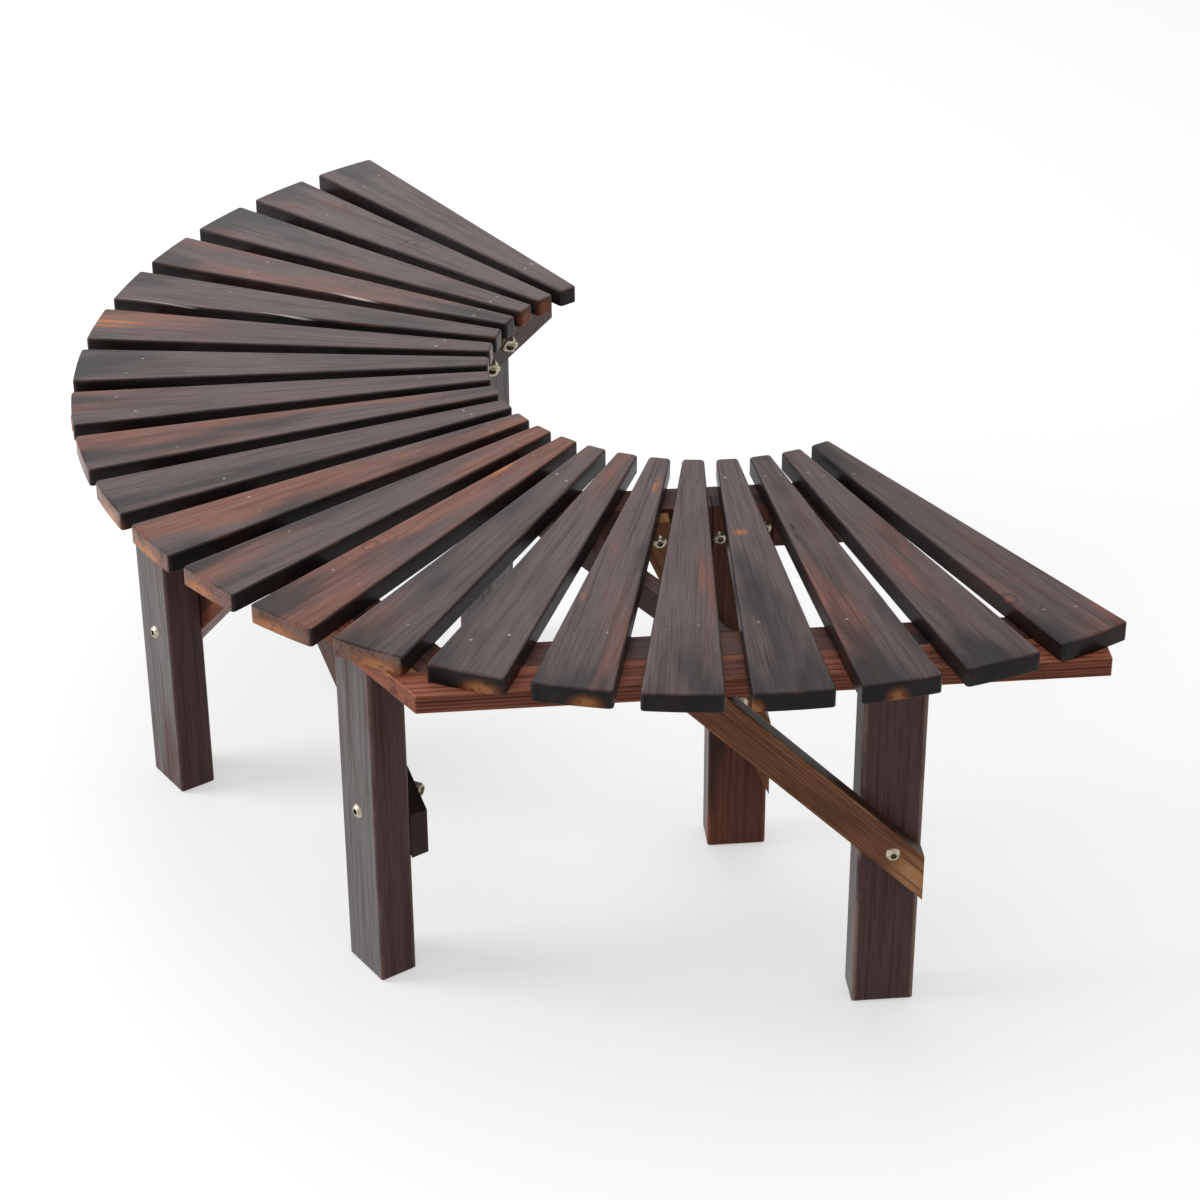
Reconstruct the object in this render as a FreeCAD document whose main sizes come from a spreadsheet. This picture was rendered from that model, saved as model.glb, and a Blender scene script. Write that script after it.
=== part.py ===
import FreeCAD, Part
import math
import os

import Sketcher

# Half-round tree bench, bolted from carbonised pine.
# Frame: millimetres, +Z up, floor at z = 0, origin at the middle of the bench's footprint.
# The seat is a half ring round a tree that stands at +Y, and its open side faces +Y.
# The frame beneath is half a hexagon of three sections: left, middle and right.

doc = FreeCAD.newDocument("tree_bench")

# Driving dimensions

SIZES = [
    ("seat_radius", 650, "outer radius of the half-round seat"),
    ("tree_radius", 219, "radius at the inner ends of the slats"),
    ("seat_high", 425, "floor to the top of the seat"),
    ("slat_count", 21, "number of seat slats"),
    ("slat_outer_wide", 75, "slat width at its outer end"),
    ("slat_inner_wide", 21.5, "slat width at its inner end"),
    ("slat_thick", 19, "slat thickness"),
    ("slat_corner", 4, "radius of the slat corners seen from above"),
    ("slat_edge", 1.5, "bevel along the top edges of a slat"),
    ("frame_deep", 40, "depth of the beams and legs, measured outward"),
    ("outer_beam_face", 553, "centre line of the tree to the outer beams' outer face"),
    ("outer_beam_high", 42, "height of the outer beams"),
    ("outer_beam_reach", 300, "middle of a side section to the free end of its outer beam"),
    ("inner_beam_face", 281, "centre line of the tree to the inner beams' outer face"),
    ("inner_beam_high", 48, "height of the inner beams"),
    ("inner_beam_reach", 150, "middle of a side section to the free end of its inner beam"),
    ("lap_thick", 20, "thickness of the leg tongue in its half lap"),
    ("rail_thick", 19, "thickness of the flat outer rails"),
    ("rail_side_wide", 40, "width of the side rails"),
    ("rail_middle_wide", 23, "width of the middle rail"),
    ("rail_reach", 305, "middle of a side section to the free end of its rail"),
    ("rail_tip_radius", 645, "centre of the tree to the cut-back tip of the left rail"),
    ("leg_wide", 60, "width of a leg along its section"),
    ("leg_edge", 2, "bevel along the upright edges of a leg"),
    ("foot_chamfer", 3, "bevel round the foot of a leg"),
    ("middle_leg_along", 201, "middle of the section to each of its two outer legs"),
    ("side_leg_along", 118, "middle of a side section to its outer leg"),
    ("inner_leg_along", 11, "middle of a side section to its inner leg"),
    ("brace_wide", 35, "width of a brace"),
    ("brace_thick", 19, "thickness of a brace"),
    ("brace_angle", 45, "slope of the side sections' outer braces, degrees"),
    ("inner_brace_angle", 66.5, "slope of the inner braces, degrees"),
    ("brace_meet_over", 2.15, "level head cut to where the middle braces' centre lines meet"),
    ("brace_bolt_high", 188, "floor to the lower brace bolts"),
    ("inner_brace_top_gap", 4, "slat underside to the top of the inner braces"),
    ("tie_high", 28, "height of the tie boards"),
    ("tie_thick", 19, "thickness of the tie boards"),
    ("tie_start", 60, "middle of the bench to the near end of a tie board"),
    ("bolt_thick", 8, "shank diameter of the bolts"),
    ("bolt_head_wide", 16, "diameter of the domed bolt heads"),
    ("bolt_head_high", 4.5, "height of the domed bolt heads"),
    ("bolt_spare", 5, "thread that shows beyond a nut"),
    ("washer_wide", 18, "outer diameter of the washers"),
    ("washer_thick", 1.6, "thickness of the washers"),
    ("nut_wide", 13, "nut across its flats"),
    ("nut_high", 6.5, "height of the nuts"),
    ("lap_bolt_apart", 44, "distance between the two bolts of an inner lap"),
    ("lap_bolt_drop", 31, "beam top to the middle of the lap bolts"),
    ("lap_bolt_stagger", 9, "difference in height of the two lap bolts"),
    ("fit_gap", 0.3, "clearance in a wooden joint and round a shank"),
]

sheet = doc.addObject("Spreadsheet::Sheet", "Sizes")
for row, (alias, value, meaning) in enumerate(SIZES, start=1):
    sheet.set("A%d" % row, meaning)
    sheet.set("B%d" % row, str(value))
    sheet.setAlias("B%d" % row, alias)
doc.recompute()


def size(alias):
    return float(sheet.get(alias))


# Values worked out from the driving dimensions, as expressions

SLAT_UNDER = "(Sizes.seat_high - Sizes.slat_thick)"
OUTER_FACE = "Sizes.outer_beam_face"
OUTER_BACK = "(Sizes.outer_beam_face - Sizes.frame_deep)"
INNER_FACE = "Sizes.inner_beam_face"
OUTER_UNDER = "(%s - Sizes.outer_beam_high)" % SLAT_UNDER
INNER_UNDER = "(%s - Sizes.inner_beam_high)" % SLAT_UNDER
RAIL_UNDER = "(%s - Sizes.rail_thick)" % SLAT_UNDER
HOLE = "(Sizes.bolt_thick + 2 * Sizes.fit_gap)"

outer_back = size("outer_beam_face") - size("frame_deep")
inner_back = size("inner_beam_face") - size("frame_deep")

# A section's own axes: x runs outward from the tree, y along the section, z up.
# The outward direction of the middle section is -Y of the bench.

HALF_CORNER = 30
CORNER_SIN = "sin(%ddeg)" % HALF_CORNER
CORNER_COS = "cos(%ddeg)" % HALF_CORNER


def behind_tree(reach, inward):
    """How far a side section's free end stands behind the tree's centre line."""
    corner = math.radians(HALF_CORNER)
    return reach * math.cos(corner) - inward * math.sin(corner)


rearmost = max(behind_tree(size("inner_beam_reach"), inner_back),
               behind_tree(size("outer_beam_reach"), outer_back),
               behind_tree(size("rail_reach"), size("outer_beam_face")))
TREE = FreeCAD.Vector(0, (size("seat_radius") - rearmost) / 2, 0)
FRONT_TURN = -90
SIDE_SIGN = {"left": -1, "right": 1}
SECTION_TURN = {side: FRONT_TURN + 2 * sign * HALF_CORNER for side, sign in SIDE_SIGN.items()}
SECTION_TURN["middle"] = FRONT_TURN
UP = FreeCAD.Vector(0, 0, 1)

# Smallest edge and cut that count, in millimetres and cubic millimetres, and how far a
# cutting shape passes the faces that it leaves

LEAST_EDGE = 1
LEAST_CUT = 1
CUT_PAST = 1
NEAR = 1e-4


def section_placement(section):
    return FreeCAD.Placement(TREE, FreeCAD.Rotation(UP, SECTION_TURN[section]))


def origin_plane(body, role):
    for feature in body.Origin.OriginFeatures:
        if feature.Role == role:
            return feature
    raise ValueError("no plane " + role)


def new_body(label, section=None):
    body = doc.addObject("PartDesign::Body", label)
    body.Label = label
    if section:
        body.Placement = section_placement(section)
    return body


def new_sketch(body, name, role, offset=None):
    sketch = body.newObject("Sketcher::SketchObject", name)
    sketch.AttachmentSupport = [(origin_plane(body, role), "")]
    sketch.MapMode = "FlatFace"
    if offset:
        sketch.setExpression(".AttachmentOffset.Base.z", offset)
    return sketch


# Values of expressions, for a sketch's first guess

def evaluate(expression):
    return float(sheet.evalExpression(expression.replace("Sizes.", "")))


def bind(sketch, kind, geometry, point, expression):
    value = evaluate(expression)
    index = sketch.addConstraint(Sketcher.Constraint(kind, -1, 1, geometry, point, value))
    sketch.setExpression("Constraints[%d]" % index, expression)


def outline(sketch, corners):
    """Closed outline whose corners are pairs of expressions."""
    points = [FreeCAD.Vector(evaluate(x), evaluate(y), 0) for x, y in corners]
    count = len(points)
    for index in range(count):
        line = Part.LineSegment(points[index], points[(index + 1) % count])
        sketch.addGeometry(line, False)
    for index, (x, y) in enumerate(corners):
        before = (index - 1) % count
        sketch.addConstraint(Sketcher.Constraint("Coincident", before, 2, index, 1))
        bind(sketch, "DistanceX", index, 1, x)
        bind(sketch, "DistanceY", index, 1, y)


def circle(sketch, x, y, diameter):
    """Circle whose centre and diameter are expressions."""
    centre = FreeCAD.Vector(evaluate(x), evaluate(y), 0)
    geometry = Part.Circle(centre, FreeCAD.Vector(0, 0, 1), evaluate(diameter) / 2)
    index = sketch.addGeometry(geometry, False)
    bind(sketch, "DistanceX", index, 3, x)
    bind(sketch, "DistanceY", index, 3, y)
    constraint = sketch.addConstraint(Sketcher.Constraint("Diameter", index, evaluate(diameter)))
    sketch.setExpression("Constraints[%d]" % constraint, diameter)


def pad(body, sketch, length, name):
    feature = body.newObject("PartDesign::Pad", name)
    feature.Profile = sketch
    feature.setExpression("Length", length)
    sketch.Visibility = False
    doc.recompute()
    return feature


def pocket(body, sketch, length, name, reverse=False):
    before = body.Shape.Volume
    feature = body.newObject("PartDesign::Pocket", name)
    feature.Profile = sketch
    feature.Reversed = reverse
    feature.setExpression("Length", length)
    sketch.Visibility = False
    doc.recompute()
    if not body.Shape.Volume < before - LEAST_CUT:
        raise ValueError("%s of %s cuts nothing" % (name, body.Label))
    return feature


def dress(body, kind, name, edges, measure, alias):
    """Fillet or chamfer on the edges of the tip that the test picks."""
    base = body.Tip
    names = ["Edge%d" % (i + 1) for i, edge in enumerate(base.Shape.Edges) if edges(edge)]
    feature = body.newObject("PartDesign::" + kind, name)
    feature.Base = (base, names)
    feature.setExpression(measure, "Sizes." + alias)
    doc.recompute()
    return feature


def is_upright(edge):
    return edge.Length > LEAST_EDGE and abs(abs(edge.tangentAt(edge.FirstParameter).z) - 1) < NEAR


def lies_at(edge, height):
    return all(abs(vertex.Z - height) < NEAR for vertex in edge.Vertexes)


# Seat slats
# Each slat tapers towards the tree. Its outer end follows the seat's circle.

slat_half_angle = math.degrees(math.asin(size("slat_outer_wide") / 2 / size("seat_radius")))
slat_pitch = (180 - 2 * slat_half_angle) / (size("slat_count") - 1)


def slat(number):
    body = new_body("slat_%02d" % number)
    sketch = new_sketch(body, "slat_outline", "XY_Plane", SLAT_UNDER)
    outer, inner = "(Sizes.slat_outer_wide / 2)", "(Sizes.slat_inner_wide / 2)"
    radius = size("seat_radius")
    half = size("slat_outer_wide") / 2
    near = size("tree_radius")
    near_half = size("slat_inner_wide") / 2
    far = math.sqrt(radius ** 2 - half ** 2)
    angle = math.asin(half / radius)
    inner_low = FreeCAD.Vector(near, -near_half, 0)
    inner_high = FreeCAD.Vector(near, near_half, 0)
    outer_low = FreeCAD.Vector(far, -half, 0)
    outer_high = FreeCAD.Vector(far, half, 0)
    sketch.addGeometry(Part.LineSegment(inner_low, outer_low), False)
    rim = Part.Circle(FreeCAD.Vector(), FreeCAD.Vector(0, 0, 1), radius)
    sketch.addGeometry(Part.ArcOfCircle(rim, -angle, angle), False)
    sketch.addGeometry(Part.LineSegment(outer_high, inner_high), False)
    sketch.addGeometry(Part.LineSegment(inner_high, inner_low), False)
    for first, second in ((0, 1), (1, 2), (2, 3), (3, 0)):
        sketch.addConstraint(Sketcher.Constraint("Coincident", first, 2, second, 1))
    sketch.addConstraint(Sketcher.Constraint("Coincident", 1, 3, -1, 1))
    rim_size = sketch.addConstraint(Sketcher.Constraint("Radius", 1, radius))
    sketch.setExpression("Constraints[%d]" % rim_size, "Sizes.seat_radius")
    bind(sketch, "DistanceY", 1, 1, "-" + outer)
    bind(sketch, "DistanceY", 1, 2, outer)
    for line, sign in ((3, ""), (0, "-")):
        bind(sketch, "DistanceX", line, 1, "Sizes.tree_radius")
        bind(sketch, "DistanceY", line, 1, sign + inner)
    pad(body, sketch, "Sizes.slat_thick", "slat_board")
    dress(body, "Fillet", "slat_corners", is_upright, "Radius", "slat_corner")
    top = size("seat_high")
    dress(body, "Chamfer", "slat_top_edge", lambda edge: lies_at(edge, top), "Size", "slat_edge")
    turn = -180 + slat_half_angle + (number - 1) * slat_pitch
    body.Placement = FreeCAD.Placement(TREE, FreeCAD.Rotation(UP, turn))
    return body


# Beams
# The three beams of a ring meet in mitres. A beam is notched from its outer face for each leg.

MITRE = "tan(%ddeg)" % HALF_CORNER
MITRE_GAP = "(Sizes.fit_gap / 2)"


def beam(ring, section, face, under, high, reach, leg_places, hole_places):
    """Beam of one ring; hole_places lists along, height and bore of each bore."""
    body = new_body("%s_beam_%s" % (ring, section), section)
    back = "(%s - Sizes.frame_deep)" % face
    sketch = new_sketch(body, "beam_outline", "XY_Plane", under)
    mitre_face = "(%s * %s - %s)" % (face, MITRE, MITRE_GAP)
    mitre_back = "(%s * %s - %s)" % (back, MITRE, MITRE_GAP)
    if section == "middle":
        low_face, low_back, high_back, high_face = "-" + mitre_face, "-" + mitre_back, mitre_back, mitre_face
    elif section == "right":
        low_face, low_back, high_back, high_face = "-" + mitre_face, "-" + mitre_back, reach, reach
    else:
        low_face, low_back, high_back, high_face = "-" + reach, "-" + reach, mitre_back, mitre_face
    outline(sketch, [(face, low_face), (face, high_face), (back, high_back), (back, low_back)])
    pad(body, sketch, high, "beam_stock")
    for index, along in enumerate(leg_places):
        notch = new_sketch(body, "lap_notch_%d" % index, "XY_Plane", under)
        half = "(Sizes.leg_wide / 2 + Sizes.fit_gap)"
        inside = "(%s - Sizes.lap_thick)" % face
        low, far = "(%s - %s)" % (along, half), "(%s + %s)" % (along, half)
        outside = "(%s + %d)" % (face, CUT_PAST)
        outline(notch, [(inside, low), (outside, low), (outside, far), (inside, far)])
        pocket(body, notch, high, "lap_housing_%d" % index, reverse=True)
    drill(body, back, "Sizes.frame_deep", hole_places)
    return body


def drill(body, start, deep, places):
    """Bores that run outward from the plane at start; places hold along, height and bore."""
    for index, (along, height, bore) in enumerate(places):
        sketch = new_sketch(body, "bore_%d" % index, "YZ_Plane", "(%s - %d)" % (start, CUT_PAST))
        circle(sketch, along, height, bore)
        pocket(body, sketch, "(%s + 2 * %d)" % (deep, CUT_PAST), "bore_cut_%d" % index, reverse=True)


# Places of fasteners, as expressions in a section's own axes

LAP_HIGH = "(%s - Sizes.lap_bolt_drop)" % SLAT_UNDER
INNER_BRACE_TOP = "(%s - Sizes.inner_brace_top_gap)" % SLAT_UNDER
INNER_BOLT_HIGH = "((%s + %s) / 2)" % (INNER_BRACE_TOP, INNER_UNDER)


def signed(sign, value):
    return "(%d * %s)" % (sign, value)


def lap_places(sign, along):
    """Two bores of an inner leg's half lap; the one nearer the free end is the higher."""
    places = []
    for end in (-1, 1):
        place = "(%s + %d * Sizes.lap_bolt_apart / 2)" % (along, sign * end)
        height = "(%s + %d * Sizes.lap_bolt_stagger / 2)" % (LAP_HIGH, end)
        places.append((place, height, HOLE))
    return places


def slope_of(angle):
    return "tan(%s * 1deg)" % angle


def brace_top_along(sign, along, slope, height):
    """Where the middle line of a brace reaches a height; the brace leans towards the corner."""
    rise = "(%s - Sizes.brace_bolt_high)" % height
    return "(%s - %d * %s / %s)" % (along, sign, rise, slope)


MIDDLE_ALONG = {side: signed(sign, "Sizes.middle_leg_along") for side, sign in SIDE_SIGN.items()}
SIDE_ALONG = {side: signed(sign, "Sizes.side_leg_along") for side, sign in SIDE_SIGN.items()}
INNER_ALONG = {side: signed(sign, "Sizes.inner_leg_along") for side, sign in SIDE_SIGN.items()}


def inner_brace_bolt_place(side):
    slope = slope_of("Sizes.inner_brace_angle")
    place = brace_top_along(SIDE_SIGN[side], INNER_ALONG[side], slope, INNER_BOLT_HIGH)
    return (place, INNER_BOLT_HIGH, HOLE)


def make_beams():
    legs = [MIDDLE_ALONG["left"], MIDDLE_ALONG["right"]]
    beams = [beam("outer", "middle", OUTER_FACE, OUTER_UNDER, "Sizes.outer_beam_high", "", legs, [])]
    beams.append(beam("inner", "middle", INNER_FACE, INNER_UNDER, "Sizes.inner_beam_high", "", [], []))
    for side, sign in SIDE_SIGN.items():
        beams.append(beam("outer", side, OUTER_FACE, OUTER_UNDER, "Sizes.outer_beam_high",
                          "Sizes.outer_beam_reach", [SIDE_ALONG[side]], []))
        holes = lap_places(sign, INNER_ALONG[side]) + [inner_brace_bolt_place(side)]
        beams.append(beam("inner", side, INNER_FACE, INNER_UNDER, "Sizes.inner_beam_high",
                          "Sizes.inner_beam_reach", [INNER_ALONG[side]], holes))
    return beams


# Flat outer rails
# The side rails run past the corner and end in line with the face of the middle rail,
# which butts against their back faces.

def rail_bed(body):
    return new_sketch(body, "rail_outline", "XY_Plane", RAIL_UNDER)


def middle_rail():
    body = new_body("outer_rail_middle", "middle")
    face = "(%s + Sizes.rail_middle_wide)" % OUTER_FACE
    corners = []
    for outward, sign in ((OUTER_FACE, -1), (face, -1), (face, 1), (OUTER_FACE, 1)):
        meet = "((%s - %s * %s) / %s - Sizes.fit_gap)" % (OUTER_FACE, outward, CORNER_SIN, CORNER_COS)
        corners.append((outward, signed(sign, meet)))
    outline(rail_bed(body), corners)
    pad(body, doc.ActiveObject, "Sizes.rail_thick", "rail_board")
    return body


def side_rail(side):
    body = new_body("outer_rail_" + side, side)
    sign = SIDE_SIGN[side]
    face = "(%s + Sizes.rail_side_wide)" % OUTER_FACE
    flush = "(%s + Sizes.rail_middle_wide)" % OUTER_FACE
    corners = []
    for outward, end in ((OUTER_FACE, "near"), (face, "near"), (face, "far"), (OUTER_FACE, "far")):
        if end == "far":
            along = "Sizes.rail_reach"
        elif side == "right":
            along = "((%s * %s - %s) / %s)" % (outward, CORNER_SIN, flush, CORNER_COS)
        else:
            along = "((%s * %s - Sizes.rail_tip_radius) / %s)" % (outward, CORNER_COS, CORNER_SIN)
        corners.append((outward, signed(sign, along)))
    outline(rail_bed(body), corners)
    pad(body, doc.ActiveObject, "Sizes.rail_thick", "rail_board")
    return body


# Legs
# A leg carries its beam on a shoulder and holds it with a tongue that fills the notch.

def leg(label, section, face, under, along, bores):
    body = new_body(label, section)
    start = "(%s - Sizes.leg_wide / 2)" % along
    sketch = new_sketch(body, "leg_profile", "XZ_Plane", "-1 * (%s + Sizes.leg_wide)" % start)
    back = "(%s - Sizes.frame_deep)" % face
    tongue = "(%s - Sizes.lap_thick + Sizes.fit_gap)" % face
    outline(sketch, [(back, "0"), (face, "0"), (face, SLAT_UNDER), (tongue, SLAT_UNDER), (tongue, under),
                     (back, under)])
    pad(body, sketch, "Sizes.leg_wide", "leg_stock")
    dress(body, "Chamfer", "foot_bevel", lambda edge: lies_at(edge, 0), "Size", "foot_chamfer")
    dress(body, "Chamfer", "leg_arris", is_long_upright, "Size", "leg_edge")
    drill(body, back, "Sizes.frame_deep", bores)
    return body


def is_long_upright(edge):
    return is_upright(edge) and edge.Length > size("seat_high") / 2


def make_legs():
    legs = []
    for side, sign in SIDE_SIGN.items():
        for name, section, along in (("outer_leg_middle_" + side, "middle", MIDDLE_ALONG[side]),
                                     ("outer_leg_" + side, side, SIDE_ALONG[side])):
            bores = [(along, "Sizes.brace_bolt_high", HOLE)]
            legs.append(leg(name, section, OUTER_FACE, OUTER_UNDER, along, bores))
        along = INNER_ALONG[side]
        bores = lap_places(sign, along) + [(along, "Sizes.brace_bolt_high", HOLE)]
        legs.append(leg("inner_leg_" + side, side, INNER_FACE, INNER_UNDER, along, bores))
    return legs


# Knee braces
# A brace lies flat on its leg. Its foot is cut upright, in line with the leg's side, and its
# head is cut level. The two braces of the middle section meet head to head, so their slope
# follows from where their legs stand and how high the rail is.

MEET_RUN = "(Sizes.middle_leg_along - %s)" % MITRE_GAP


def brace(label, section, sign, start, along, slope, top, bores, butt=False):
    body = new_body(label, section)
    half = "(Sizes.brace_wide / 2 * sqrt(1 + (%s) ^ 2))" % slope
    foot = "(Sizes.leg_wide / 2)"
    rise = "(%s - Sizes.brace_bolt_high)" % top
    profile = [(foot, "(-1 * %s * %s - %s)" % (foot, slope, half)),
               (foot, "(-1 * %s * %s + %s)" % (foot, slope, half)),
               ("((%s - %s) / %s)" % (half, rise, slope), rise)]
    if butt:
        profile.append(("(-1 * %s)" % MEET_RUN, rise))
        profile.append(("(-1 * %s)" % MEET_RUN, "(%s * %s - %s)" % (MEET_RUN, slope, half)))
    else:
        profile.append(("((-1 * %s - %s) / %s)" % (half, rise, slope), rise))
    sketch = new_sketch(body, "brace_profile", "YZ_Plane", start)
    corners = []
    for place, height in profile:
        corners.append(("(%s + %d * %s)" % (along, sign, place), "(Sizes.brace_bolt_high + %s)" % height))
    outline(sketch, corners)
    pad(body, sketch, "Sizes.brace_thick", "brace_board")
    drill(body, start, "Sizes.brace_thick", bores)
    return body


def make_braces():
    braces = []
    top = "(%s - Sizes.fit_gap)" % RAIL_UNDER
    behind = "(%s - Sizes.brace_thick)" % OUTER_BACK
    meet_high = "(%s - Sizes.brace_bolt_high + Sizes.brace_meet_over)" % top
    meet_slope = "(%s / %s)" % (meet_high, MEET_RUN)
    outer_slope = slope_of("Sizes.brace_angle")
    inner_slope = slope_of("Sizes.inner_brace_angle")
    for side, sign in SIDE_SIGN.items():
        along = MIDDLE_ALONG[side]
        bores = [(along, "Sizes.brace_bolt_high", HOLE)]
        braces.append(brace("brace_middle_" + side, "middle", sign, behind, along, meet_slope, top, bores,
                            butt=True))
        along = SIDE_ALONG[side]
        bores = [(along, "Sizes.brace_bolt_high", HOLE)]
        braces.append(brace("brace_outer_" + side, side, sign, OUTER_FACE, along, outer_slope, top, bores))
        along = INNER_ALONG[side]
        bores = [(along, "Sizes.brace_bolt_high", HOLE), inner_brace_bolt_place(side)]
        braces.append(brace("brace_inner_" + side, side, sign, INNER_FACE, along, inner_slope,
                            INNER_BRACE_TOP, bores))
    return braces


# Tie boards
# A tie board is screwed to the middle inner beam and runs on to a side section's outer beam.

def tie(side):
    body = new_body("tie_board_" + side, "middle")
    sign = SIDE_SIGN[side]
    face = "(%s + Sizes.tie_thick)" % INNER_FACE
    near = "Sizes.tie_start"
    corners = [(INNER_FACE, signed(sign, near)), (face, signed(sign, near))]
    for outward in (face, INNER_FACE):
        meet = "((%s - %s * %s) / %s - Sizes.fit_gap)" % (OUTER_BACK, outward, CORNER_SIN, CORNER_COS)
        corners.append((outward, signed(sign, meet)))
    sketch = new_sketch(body, "tie_outline", "XY_Plane", "(%s - Sizes.tie_high)" % SLAT_UNDER)
    outline(sketch, corners)
    pad(body, sketch, "Sizes.tie_high", "tie_board")
    return body


# Fasteners
# One pattern of each fastener points along +X from the plane that its head bears on.
# What is round on them has many flat sides, because there are many of them.

ROUND_SIDES = 12
HEX_SIDES = 6
DOME_STEPS = 2
HALF_TURN = 180


def ring(radius, outward, sides=ROUND_SIDES):
    """Closed regular polygon about X whose corners lie on a circle."""
    corners = []
    for index in range(sides + 1):
        angle = 2 * math.pi * index / sides
        corners.append(FreeCAD.Vector(outward, radius * math.cos(angle), radius * math.sin(angle)))
    return Part.makePolygon(corners)


def prism(radius, length, sides=ROUND_SIDES):
    return Part.Face(ring(radius, 0, sides)).extrude(FreeCAD.Vector(length, 0, 0))


def bolt(length):
    """A domed head behind x = 0, made in steps, and a shank in front of it."""
    radius, high = size("bolt_head_wide") / 2, size("bolt_head_high")
    ball = (radius ** 2 + high ** 2) / (2 * high)
    rim = math.acos((ball - high) / ball)
    rings = []
    for step in range(DOME_STEPS, 0, -1):
        angle = rim * step / DOME_STEPS
        rings.append(ring(ball * math.sin(angle), ball - high - ball * math.cos(angle)))
    crown = Part.Vertex(FreeCAD.Vector(-high, 0, 0))
    head = Part.makeLoft(rings + [crown], True, True)
    return head.fuse(prism(size("bolt_thick") / 2, length)).removeSplitter()


def hollow():
    return size("bolt_thick") / 2 + size("fit_gap")


def washer():
    thick = size("washer_thick")
    return prism(size("washer_wide") / 2, thick).cut(prism(hollow(), thick))


def nut():
    high = size("nut_high")
    corner = size("nut_wide") / 2 / math.cos(math.pi / HEX_SIDES)
    return prism(corner, high, HEX_SIDES).cut(prism(hollow(), high))


def placed(shape, section, outward, along, height):
    """A copy at a place in a section's axes, pointing towards the tree."""
    turn = FreeCAD.Rotation(UP, HALF_TURN)
    local = FreeCAD.Placement(FreeCAD.Vector(outward, evaluate(along), evaluate(height)), turn)
    copy = shape.copy()
    copy.Placement = section_placement(section).multiply(local).multiply(copy.Placement)
    return copy


def group(label, shapes):
    feature = doc.addObject("Part::Feature", label)
    feature.Label = label
    feature.Shape = Part.makeCompound(shapes)
    feature.Placement = FreeCAD.Placement()
    return feature


def make_bolts():
    """Bolts of the braces and of the inner laps, each with a washer and a nut on the tree side."""
    bolts = {"brace": ([], [], []), "inner_lap": ([], [], [])}
    washer_thick, brace_thick, deep = size("washer_thick"), size("brace_thick"), size("frame_deep")

    def add(kind, section, head, grip, along, height):
        heads, washers, nuts = bolts[kind]
        length = grip + washer_thick + size("nut_high") + size("bolt_spare")
        heads.append(placed(bolt(length), section, head, along, height))
        washers.append(placed(washer(), section, head - grip, along, height))
        nuts.append(placed(nut(), section, head - grip - washer_thick, along, height))

    outer, inner = size("outer_beam_face"), size("inner_beam_face")
    knee = "Sizes.brace_bolt_high"
    for side, sign in SIDE_SIGN.items():
        add("brace", "middle", outer, deep + brace_thick, MIDDLE_ALONG[side], knee)
        add("brace", side, outer + brace_thick, deep + brace_thick, SIDE_ALONG[side], knee)
        add("brace", side, inner + brace_thick, deep + brace_thick, INNER_ALONG[side], knee)
        along, height, bore = inner_brace_bolt_place(side)
        add("brace", side, inner + brace_thick, deep + brace_thick, along, height)
        for along, height, bore in lap_places(sign, INNER_ALONG[side]):
            add("inner_lap", side, inner, deep, along, height)
    features = []
    for kind, (heads, washers, nuts) in bolts.items():
        features.append(group(kind + "_bolts", heads))
        features.append(group(kind + "_washers", washers))
        features.append(group(kind + "_nuts", nuts))
    return features


# Assembly

pieces = [slat(number + 1) for number in range(int(size("slat_count")))]
pieces += make_beams()
pieces += [middle_rail(), side_rail("left"), side_rail("right")]
pieces += make_legs()
pieces += make_braces()
pieces += [tie("left"), tie("right")]
pieces += make_bolts()
doc.recompute()

for item in doc.Objects:
    if "Invalid" in item.State or "Error" in item.State:
        raise ValueError("%s is %s" % (item.Name, item.State))
for piece in pieces:
    if piece.Shape.isNull() or not piece.Shape.isValid():
        raise ValueError(piece.Label + " has no valid shape")

os.makedirs("parts", exist_ok=True)
for piece in pieces:
    piece.Shape.exportStep("parts/%s.step" % piece.Label)
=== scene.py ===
# Half-round tree bench: finishes, small fasteners, floor, light and camera.
# Everything is in metres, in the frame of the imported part: +Z up, floor at z = 0.

import math
import random
from dataclasses import dataclass, replace
from itertools import count

import bmesh
import bpy
import numpy as np
from mathutils import Matrix, Quaternion, Vector


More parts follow.
